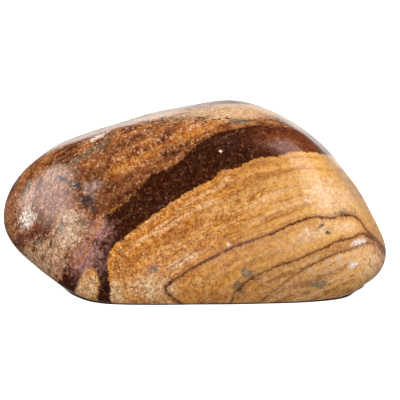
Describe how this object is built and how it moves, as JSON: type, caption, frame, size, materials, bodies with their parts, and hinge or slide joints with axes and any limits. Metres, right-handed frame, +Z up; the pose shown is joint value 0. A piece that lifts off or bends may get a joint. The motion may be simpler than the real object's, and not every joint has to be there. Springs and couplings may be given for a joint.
{
  "type": "tumbled stone",
  "caption": "Polished banded jasper stone, a rounded lopsided wedge with soft facets and a broad flat underneath.",
  "frame": {"origin": "on the flat of the base, below the middle of the stone's box", "axes": "+X along the stone to its right end, +Y from the broad front face to the back, +Z up"},
  "size_m": [0.0402, 0.0266, 0.0188],
  "materials": {
    "polished_jasper": "polished by tumbling, glossy"
  },
  "bodies": {
    "root": {"jasper_stone": "polished_jasper"}
  },
  "joints": []
}
